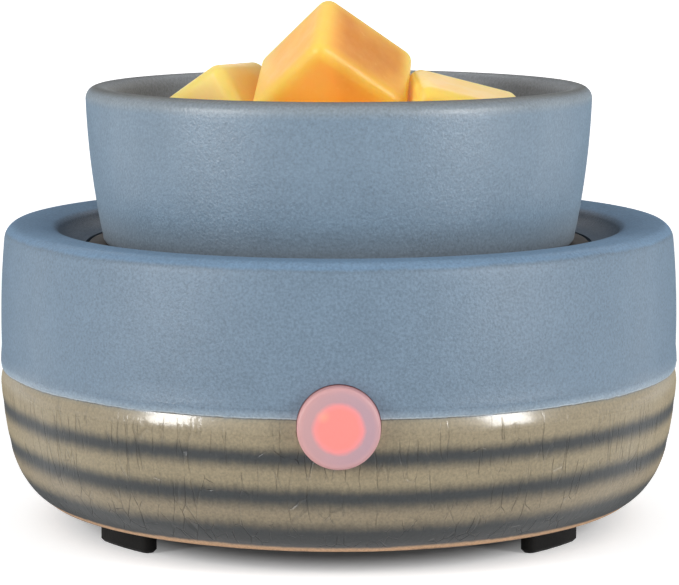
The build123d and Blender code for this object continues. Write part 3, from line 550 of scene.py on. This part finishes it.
# %% [markdown]
# ## Body glaze
# One glaze colour follows the height: bare clay at the foot, olive glaze with three dark
# bands where it pooled in the turned grooves, a thin dark line where the two glazes meet,
# and blue above. It could be painted as an image, but a ramp on the height is sharp at any
# size. Noise bends the height a little, so that the lines waver as glaze does, and the olive
# glaze carries fine upright cracks, which are Voronoi cell walls stretched along Z.

# %% Glaze by height
glaze, tree, shader = new_finish("body_glaze")
where, x, y, z = places(tree)
WAVER, FINE_WAVER, DRAWN = 1.0 * MM, 0.35 * MM, 0.8 * MM
waver = times(tree, minus(tree, noise(tree, where, 60, 3), 0.5), WAVER)
fine_waver = times(tree, minus(tree, noise(tree, where, 700, 2), 0.5), FINE_WAVER)
threads = add_node(tree, "Mapping", {0: where, 3: (1, 1, 0.05)}).outputs[0]
thread_noise = noise(tree, threads, 1100, 2)
under_shoulder = spread(tree, z, 28.5 * MM, 27.0 * MM)
over_foot = spread(tree, z, 7.5 * MM, 9.5 * MM, 0.0, DRAWN)
drawn = times(tree, minus(tree, thread_noise, 0.5), times(tree, under_shoulder, over_foot))
height = plus(tree, plus(tree, z, drawn), plus(tree, waver, fine_waver))
FOOT_MM, RIM_MM = 4.9, 59.0
olive, low_olive, pooled = (144, 132, 107), (138, 126, 104), (44, 48, 50)
edge_line, clay_edge, blue = (80, 78, 72), (218, 178, 142), (107, 127, 145)
band_stops = [
    # The lowest clay, where the foot ring turns under, is painted darker as shade.
    (FOOT_MM, (120, 98, 84)),
    (5.2, clay_edge),
    (5.65, clay_edge),
    (6.3, pooled),
    (9.2, pooled),
    (12.3, low_olive),
    (12.8, low_olive),
    (16.0, pooled),
    (16.5, pooled),
    (19.2, olive),
    (20.5, olive),
    (23.4, pooled),
    (23.9, pooled),
    (26.4, olive),
    (29.8, olive),
    (30.46, (138, 130, 110)),
    (30.54, edge_line),
    (30.64, edge_line),
    # The pale stops just above the dark line are a painted highlight on the blue's rounded lower edge.
    (30.80, (188, 200, 208)),
    (31.1, (136, 154, 170)),
    (32.6, blue),
]
share = spread(tree, height, FOOT_MM * MM, RIM_MM * MM)
glaze_and_light_stops = [((mm - FOOT_MM) / (RIM_MM - FOOT_MM), tone(*colour)) for mm, colour in band_stops]
glaze_with_painted_light = colour_steps(tree, share, glaze_and_light_stops, "EASE")
print("stops on the height ramp:", len(band_stops))

# %% The rim and the recess
radius = length_of(tree, x, y)
# The top of the rim is painted a bluer tone as shade.
rim_top_painted_shade = spread(tree, height, 57.2 * MM, 58.0 * MM, way="SMOOTHSTEP")
glaze_with_painted_light = mix_colours(tree, rim_top_painted_shade, glaze_with_painted_light, tone(104, 132, 158))
# A dark line along the middle of the rim's outer rounding is painted shade.
CREASE_Z, CREASE_WIDTH = 57.4 * MM, 0.5 * MM
off_crease = maths(tree, "ABSOLUTE", minus(tree, height, CREASE_Z))
rim_edge_painted_shade = spread(tree, off_crease, 0.0, CREASE_WIDTH, 0.28, 0.0)
glaze_with_painted_light = mix_colours(tree, rim_edge_painted_shade, glaze_with_painted_light, tone(84, 96, 106))
# The recess inside the rim is painted a dark slate tone as shade.
inside_rim = spread(tree, radius, 57.4 * MM, 55.2 * MM)
recess_painted_shade = times(tree, inside_rim, spread(tree, z, 53.0 * MM, 54.0 * MM))
glaze_with_painted_light = mix_colours(tree, recess_painted_shade, glaze_with_painted_light, tone(82, 95, 109))
print("rim and recess coloured")

# %% Cracks
bend = add_node(tree, "TexNoise", {"Vector": where, "Scale": 170, "Detail": 3}).outputs["Color"]
STRAY = (1.1 * MM, 1.1 * MM, 1.1 * MM)
bent = add_node(tree, "VectorMath", {0: bend, 1: STRAY}, operation="MULTIPLY").outputs[0]
wandering = add_node(tree, "VectorMath", {0: where, 1: bent}, operation="ADD").outputs[0]


def crack_lines(tree, stretch, scale, width, gaps, least):
    """Thin lines along Voronoi cell walls, broken off here and there."""
    laid = add_node(tree, "Mapping", {0: wandering, 3: stretch}).outputs[0]
    values = {"Vector": laid, "Scale": scale}
    walls = add_node(tree, "TexVoronoi", values, feature="DISTANCE_TO_EDGE").outputs["Distance"]
    whole = spread(tree, noise(tree, where, gaps, 2), least, least + 0.1)
    return times(tree, spread(tree, walls, 0.0, width, 1.0, 0.0), whole)


long_cracks = crack_lines(tree, (1, 1, 0.06), 400, 0.045, 170, 0.46)
short_cracks = crack_lines(tree, (1, 1, 0.4), 300, 0.020, 230, 0.60)
crack = maths(tree, "MAXIMUM", long_cracks, short_cracks)
over_clay = spread(tree, height, 6.0 * MM, 6.8 * MM)
olive_zone = times(tree, spread(tree, height, 30.4 * MM, 30.1 * MM), over_clay)
crack = times(tree, crack, olive_zone)
CRACK_STAIN, CRACK_DEPTH = 0.15, 0.16 * MM
glaze_with_painted_light = mix_colours(tree, times(tree, crack, CRACK_STAIN), glaze_with_painted_light, tone(44, 44, 40))
print("crack layers: 2")

# %% Speckle
speckle = cloudy(tree, where, 2000, 3, 0.80, 1.18, 0.6)
mottle = spread(tree, noise(tree, where, 120, 4), 0.25, 0.75, 0.95, 1.05)
streak = spread(tree, times(tree, thread_noise, olive_zone), 0.3, 0.7, 0.98, 1.03)
shade = times(tree, times(tree, speckle, mottle), streak)
tree.links.new(shaded(tree, glaze_with_painted_light, shade), shader.inputs["Base Color"])
print("speckle, mottle and streaks laid over the colour")

# %% Gloss
gloss = cloudy(tree, where, 160, 3, 0.10, 0.15)
matt_blue = spread(tree, height, 30.8 * MM, 34.5 * MM, 0.0, 0.33)
matt_belly = spread(tree, height, 29.0 * MM, 27.2 * MM, 0.0, 0.22)
bare = spread(tree, height, 6.1 * MM, 5.6 * MM, 0.0, 0.85)
rough = plus(tree, gloss, plus(tree, matt_blue, matt_belly))
slant = add_node(tree, "LayerWeight", {0: 0.5}).outputs["Facing"]
rough = plus(tree, rough, spread(tree, slant, 0.55, 0.90, 0.0, 0.50))
tree.links.new(maths(tree, "MAXIMUM", rough, bare), shader.inputs["Roughness"])
shader.inputs["Specular IOR Level"].default_value = 0.45
under_bead = spread(tree, height, 31.8 * MM, 30.9 * MM)
thick = times(tree, spread(tree, height, 28.0 * MM, 29.4 * MM), under_bead)
facing_out = spread(tree, slant, 0.15, 0.60, 0.85, 0.0)
tree.links.new(times(tree, thick, facing_out), shader.inputs["Coat Weight"])
shader.inputs["Coat Roughness"].default_value = 0.30
print("gloss from the height and the slant")

# %% Relief
peel_share = spread(tree, height, 30.2 * MM, 32.5 * MM, 0.06, 1.0)
PEEL_DEPTH, PULL_DEPTH = 0.10 * MM, 0.07 * MM
peel = relief(tree, times(tree, noise(tree, where, 2100, 3, 0.6), peel_share), PEEL_DEPTH)
below_shoulder = spread(tree, height, 27.4 * MM, 29.0 * MM, 1.0, 0.12)
pull_share = times(tree, olive_zone, below_shoulder)
pulled = relief(tree, times(tree, thread_noise, pull_share), PULL_DEPTH, peel)
uncracked = minus(tree, 1.0, times(tree, crack, below_shoulder))
tree.links.new(relief(tree, uncracked, CRACK_DEPTH, pulled), shader.inputs["Normal"])
body.data.materials.append(glaze)
print("glaze nodes:", len(tree.nodes))

# %% [markdown]
# ## Bare clay
# Inside the body and under the foot ring there is no glaze. The clay is a warm, dry buff
# with fine grog. The glaze could fade to clay by a mask, but the edge is sharp on the real
# one, so the faces are picked by their place and given a second finish.

# %% Bare clay inside
clay, tree, shader = new_finish("bare_clay")
where, x, y, z = places(tree)
grog = cloudy(tree, where, 1500, 4, 0.0, 1.0, 0.7)
clay_colour = mix_colours(tree, grog, tone(158, 130, 108), tone(186, 158, 134))
tree.links.new(clay_colour, shader.inputs["Base Color"])
shader.inputs["Roughness"].default_value = 0.9
tree.links.new(relief(tree, grog, 0.00006), shader.inputs["Normal"])


def finish_faces(piece, finish, wanted):
    """Gives the finish to the faces whose middle and normal are wanted."""
    piece.data.materials.append(finish)
    number = len(piece.data.materials) - 1
    count = 0
    for face in piece.data.polygons:
        if wanted(face.center / MM, face.normal):
            face.material_index = number
            count += 1
    print(finish.name, "on", count, "faces of", piece.name)


def inside_of_body(middle, normal):
    radius = hypot(middle.x, middle.y)
    outward = (normal.x * middle.x + normal.y * middle.y) / radius
    plate_seat = middle.z < 54.0 and radius < 50.3
    under_foot = middle.z < 5.0
    hollow = middle.z < 51.0 and radius < 62.6 and outward < 0.3
    return plate_seat or under_foot or hollow


finish_faces(body, clay, inside_of_body)

# %% [markdown]
# ## Dish glaze
# The dish wears the same blue, greyer and browner inside, and darker towards its foot, which
# is painted shade. Under the crest a paler band is partly glaze and partly a painted highlight,
# and the dark crest is partly painted shade. Two finishes would meet in a hard line on the rim,
# so it is one, and the radius and height of the object coordinates tell inside from outside.

# %% Dish glaze
dish_glaze, tree, shader = new_finish("dish_glaze")
where, x, y, z = places(tree)
radius = length_of(tree, x, y)
outside = spread(tree, radius, 46.2 * MM, 48.2 * MM)
DISH_FOOT_Z, DISH_CREST_Z = 54.9 * MM, 85.9 * MM
dish_stops = [
    # The lowest stop is painted shade where the wall curves under to the foot.
    (0.0, (88, 106, 122)),
    (0.05, (112, 134, 152)),
    (0.3, (116, 137, 155)),
    (0.5, (111, 132, 150)),
    (0.90, (110, 130, 147)),
    # Under the crest a paler band is partly glaze and partly a painted highlight, and the dark crest is
    # partly painted shade.
    (0.95, (124, 136, 145)),
    (0.975, (118, 128, 136)),
    (1.0, (84, 87, 86)),
]
up_the_wall = spread(tree, z, DISH_FOOT_Z, DISH_CREST_Z)
wall_colour = colour_steps(tree, up_the_wall, [(place, tone(*colour)) for place, colour in dish_stops])
dish_colour = mix_colours(tree, outside, tone(120, 125, 130), wall_colour)
speckle = cloudy(tree, where, 2000, 3, 0.80, 1.18, 0.6)
mottle = spread(tree, noise(tree, where, 110, 4), 0.25, 0.75, 0.95, 1.05)
shade = times(tree, speckle, mottle)
tree.links.new(shaded(tree, dish_colour, shade), shader.inputs["Base Color"])
slant = add_node(tree, "LayerWeight", {0: 0.5}).outputs["Facing"]
dull = spread(tree, slant, 0.45, 0.85, 0.0, 0.55)
tree.links.new(plus(tree, cloudy(tree, where, 160, 3, 0.32, 0.38), dull), shader.inputs["Roughness"])
shader.inputs["Specular IOR Level"].default_value = 0.62
peel = relief(tree, noise(tree, where, 2100, 3, 0.6), PEEL_DEPTH)
tree.links.new(relief(tree, noise(tree, where, 700, 3), 0.00006, peel), shader.inputs["Normal"])
dish.data.materials.append(dish_glaze)


def foot_of_dish(middle, normal):
    return middle.z < 55.0


finish_faces(dish, clay, foot_of_dish)

# %% [markdown]
# ## Wax
# Wax is cloudy: light goes in, scatters and comes out warmer, so thin edges glow. Plain
# orange paint would look like plastic. Subsurface light does part of it, with a red share that
# travels furthest, and a noise that leaves paler streaks as poured wax has. The rest is painted
# light: a ramp across the heap paints lit and shaded sides, thin edges and the middle low
# down get a painted glow, and the melts glow a little by emission.

# %% Wax finish
wax, tree, shader = new_finish("poured_wax")
where, x, y, z = places(tree)
# This ramp across the heap paints lit and shaded sides on the melts: the top melt's right side, 2 to 11 mm
# right of the middle, is painted shade.
wax_and_shade_stops = [
    (-30, (250, 212, 136)),
    (-16, (250, 204, 120)),
    (-11, (246, 178, 86)),
    (-3, (248, 182, 86)),
    (2, (208, 130, 42)),
    (11, (202, 124, 32)),
    (15, (244, 194, 98)),
    (30, (244, 198, 102)),
]
HEAP_MM = 30
across = spread(tree, x, -HEAP_MM * MM, HEAP_MM * MM)
heap_colour_and_shade = [((mm + HEAP_MM) / (2 * HEAP_MM), tone(*colour)) for mm, colour in wax_and_shade_stops]
wax_with_painted_light = colour_steps(tree, across, heap_colour_and_shade, "EASE")
# Low in the middle of the heap the wax is painted a deeper orange, a painted glow for light coming through
# it.
low_down = spread(tree, z, 90.0 * MM, 84.0 * MM)
painted_deep_glow = times(tree, low_down, spread(tree, maths(tree, "ABSOLUTE", x), 15 * MM, 12 * MM))
wax_with_painted_light = mix_colours(tree, times(tree, painted_deep_glow, 0.6), wax_with_painted_light, tone(255, 190, 70))
cloud = cloudy(tree, where, 90, 4, 0.0, 0.3, 0.6)
wax_with_painted_light = mix_colours(tree, cloud, wax_with_painted_light, tone(254, 206, 116))
edge_glow_share = add_node(tree, "Attribute", attribute_name="painted_edge_glow").outputs["Fac"]
# Thin edges are painted a pale yellow, a painted glow for light coming through them.
wax_with_painted_light = mix_colours(tree, times(tree, edge_glow_share, 0.55), wax_with_painted_light, tone(248, 212, 96))
fleck = spread(tree, noise(tree, where, 700, 3), 0.62, 0.75)
wax_with_painted_light = mix_colours(tree, times(tree, fleck, 0.10), wax_with_painted_light, tone(252, 214, 140))
tree.links.new(wax_with_painted_light, shader.inputs["Base Color"])
# The wax colour also feeds a weak emission: a painted glow for light coming through the melts.
tree.links.new(wax_with_painted_light, shader.inputs["Emission Color"])
shader.inputs["Subsurface Weight"].default_value = 0.85
shader.inputs["Subsurface Radius"].default_value = (1.0, 0.5, 0.14)
shader.inputs["Subsurface Scale"].default_value = 0.014
shader.inputs["Emission Strength"].default_value = 0.11
shader.inputs["Specular IOR Level"].default_value = 0.3
tree.links.new(cloudy(tree, where, 200, 3, 0.32, 0.48), shader.inputs["Roughness"])
dents = relief(tree, noise(tree, where, 110, 3), 0.35 * MM)
tree.links.new(relief(tree, noise(tree, where, 900, 3), 0.00004, dents), shader.inputs["Normal"])
for piece in melts.values():
    piece.data.materials.clear()
    piece.data.materials.append(wax)
print("wax on", len(melts), "melts")

# %% [markdown]
# ## Frosted button
# The lamps behind the cap light a round spot in its middle. Real light through frosted
# plastic would be slow and noisy, so the glow is emission that follows the distance from
# the button's axis, over a pale pink plastic.

# %% Button finish
frost, tree, shader = new_finish("frosted_plastic")
where, x, y, z = places(tree)
rise = minus(tree, z, BUTTON_Z * MM)
off_axis = length_of(tree, x, rise)
grain = times(tree, minus(tree, noise(tree, where, 500, 2), 0.5), 0.6 * MM)
off_axis = plus(tree, off_axis, grain)
lit = spread(tree, off_axis, 3.4 * MM, 5.0 * MM, 1.0, 0.0)
one_side = spread(tree, x, -6 * MM, 5 * MM)
ring = mix_colours(tree, one_side, tone(184, 148, 150), tone(171, 145, 155))
near_edge = spread(tree, off_axis, 6.2 * MM, 7.3 * MM, 0.0, 0.5)
ring = mix_colours(tree, near_edge, ring, tone(208, 156, 152))
# A small spot up and to the left of the middle turns the glow yellower: a painted highlight.
spot_x, spot_z = plus(tree, x, 2.9 * MM), minus(tree, rise, 2.4 * MM)
spot = length_of(tree, spot_x, spot_z)
spot = spread(tree, spot, 0.2 * MM, 1.5 * MM, 0.55, 0.0)
tree.links.new(mix_colours(tree, lit, ring, tone(240, 130, 124)), shader.inputs["Base Color"])
glow = mix_colours(tree, spot, tone(255, 96, 88), tone(255, 200, 110))
tree.links.new(glow, shader.inputs["Emission Color"])
LAMP_GLOW, STRAY_GLOW = 0.30, 0.05
strength = plus(tree, times(tree, lit, LAMP_GLOW), STRAY_GLOW)
tree.links.new(strength, shader.inputs["Emission Strength"])
tree.links.new(cloudy(tree, where, 900, 2, 0.42, 0.55), shader.inputs["Roughness"])
tree.links.new(relief(tree, noise(tree, where, 1500, 2), 0.00003), shader.inputs["Normal"])
button.data.materials.append(frost)
print("button nodes:", len(tree.nodes))

# %% [markdown]
# ## Mouldings, metal and the rest
# The nodes that stay as they come get a finish of their own. Each real surface has a grain:
# spark texture on mouldings, brush lines on worked metal, tufts on fibre. Each could be
# wired by itself, but one helper makes each kind, so that a kind is changed in one place.

# %% Moulded finishes
def moulded(name, colour, second, roughness, grain_scale, grain_depth, shine=0.5):
    """Plastic, rubber or fibre: two close colours, mixed by noise, and a fine relief."""
    finish, tree, shader = new_finish(name)
    shader.inputs["Specular IOR Level"].default_value = shine
    where, x, y, z = places(tree)
    cloud = cloudy(tree, where, grain_scale / 6, 4, 0.0, 1.0)
    tree.links.new(mix_colours(tree, cloud, tone(*colour), tone(*second)), shader.inputs["Base Color"])
    rough = cloudy(tree, where, grain_scale / 3, 2, roughness - 0.05, roughness + 0.05)
    tree.links.new(rough, shader.inputs["Roughness"])
    tree.links.new(relief(tree, noise(tree, where, grain_scale, 3), grain_depth), shader.inputs["Normal"])
    return finish


def metal(name, colour, second, roughness, stretch, depth):
    """Metal with fine lines, stretched along the way it was worked."""
    finish, tree, shader = new_finish(name)
    where, x, y, z = places(tree)
    worked = add_node(tree, "Mapping", {0: where, 3: stretch}).outputs[0]
    lines = cloudy(tree, worked, 1400, 3, 0.0, 1.0, 0.6)
    tree.links.new(mix_colours(tree, lines, tone(*colour), tone(*second)), shader.inputs["Base Color"])
    shader.inputs["Metallic"].default_value = 1.0
    rough = spread(tree, lines, 0.0, 1.0, roughness - 0.06, roughness + 0.06)
    tree.links.new(rough, shader.inputs["Roughness"])
    tree.links.new(relief(tree, lines, depth), shader.inputs["Normal"])
    return finish


rubber = moulded("foot_rubber", (18, 17, 17), (25, 24, 23), 0.6, 1600, 0.00004, 0.1)
finishes = {
    "hot_plate": moulded("plate_enamel", (48, 45, 44), (62, 57, 54), 0.8, 900, 0.00003, 0.3),
    "plate_gasket": moulded("silicone_gasket", (150, 74, 58), (162, 84, 66), 0.6, 900, 0.00002),
    "heater_element": metal("heater_metal", (150, 148, 140), (176, 172, 164), 0.4, (1, 6, 1), 0.00001),
    "insulation_pad": moulded("fibre_pad", (214, 208, 190), (232, 227, 212), 0.95, 700, 0.00025),
    "heater_retainer": metal("retainer_steel", (160, 164, 166), (186, 190, 192), 0.36, (1, 7, 1), 0.00001),
    "thermostat": moulded("thermostat_resin", (44, 40, 38), (60, 55, 52), 0.5, 1200, 0.00003),
    "thermal_fuse": moulded("fuse_body", (205, 198, 176), (222, 216, 198), 0.45, 800, 0.00002),
    "fuse_clip": metal("clip_steel", (150, 154, 156), (180, 184, 186), 0.36, (6, 1, 1), 0.00001),
    "bracket_screws": metal("bracket_screw_zinc", (172, 174, 176), (196, 198, 200), 0.32, (5, 1, 1), 0.00001),
    "standoffs": metal("pillar_brass", (186, 152, 86), (206, 174, 106), 0.34, (1, 1, 7), 0.00001),
    "cover_screws": metal("cover_screw_zinc", (160, 162, 164), (190, 192, 194), 0.34, (5, 1, 1), 0.00001),
    "bottom_cover": moulded("cover_plastic", (46, 46, 47), (54, 54, 55), 0.55, 2200, 0.00005),
    "button_guide": moulded("guide_plastic", (226, 224, 218), (236, 234, 228), 0.5, 1600, 0.00002),
    "control_board": moulded("board_laminate", (38, 92, 58), (48, 106, 68), 0.4, 900, 0.00002),
    "board_screws": metal("board_screw_steel", (150, 150, 150), (180, 180, 180), 0.34, (5, 1, 1), 0.00001),
    "switch_body": moulded("switch_plastic", (38, 38, 40), (48, 48, 50), 0.45, 1800, 0.00002),
    "switch_plunger": moulded("plunger_plastic", (226, 222, 210), (236, 232, 222), 0.45, 1500, 0.00002),
    "indicator_leds": moulded("lamp_resin", (236, 96, 84), (246, 116, 100), 0.2, 1200, 0.00001),
    "supply_capacitor": moulded("capacitor_case", (206, 164, 40), (218, 178, 56), 0.4, 1200, 0.00002),
    "supply_resistor": moulded("resistor_coat", (196, 176, 138), (210, 192, 156), 0.5, 900, 0.00002),
    "terminal_block": moulded("terminal_plastic", (222, 220, 210), (234, 232, 224), 0.5, 1500, 0.00002),
    "heater_leads": moulded("wire_sleeve", (214, 206, 186), (232, 226, 210), 0.75, 1800, 0.00005),
}
for side in ("rear_right", "rear_left", "front_left", "front_right"):
    finishes["foot_" + side] = rubber
for node_name, finish in finishes.items():
    nodes[node_name].data.materials.clear()
    nodes[node_name].data.materials.append(finish)
print("finishes given to", len(finishes), "nodes")

# %% [markdown]
# ## Hidden nodes and the bush
# A node that a new piece stands for stays in the frame, so it gets the same finish as the
# piece in front of it.

# %% Match the hidden nodes
gland_rubber = moulded("bush_rubber", (34, 34, 35), (44, 44, 45), 0.65, 1700, 0.00003)
bush.data.materials.append(gland_rubber)
hidden = {
    "base_shell": glaze,
    "wax_dish": dish_glaze,
    "button_cap": frost,
    "cord_gland": gland_rubber,
    **{node_name: wax for node_name in melts},
}
for node_name, finish in hidden.items():
    nodes[node_name].data.materials.clear()
    nodes[node_name].data.materials.append(finish)
print("finishes given to", len(hidden), "hidden nodes")

# %% [markdown]
# ## What moves with what
# The dish lifts off the plate with its melts, the melts lift out of the dish, and the
# button goes in. Each piece rides on its body and stands for its node.

# %% Ride and replace
standing = [
    (body, "base", "base_shell", "body_glaze"),
    (dish, "dish", "wax_dish", "dish_glaze"),
    (button, "button", "button_cap", "frosted_plastic"),
    (bush, "base", "cord_gland", "gland_rubber"),
    *[(piece, "wax", node_name, "wax") for node_name, piece in melts.items()],
]
for piece, rides_on, node_name, slot_name in standing:
    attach(piece, rides_on)
    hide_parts(node_name)
    print(piece.name, "rides on", rides_on)
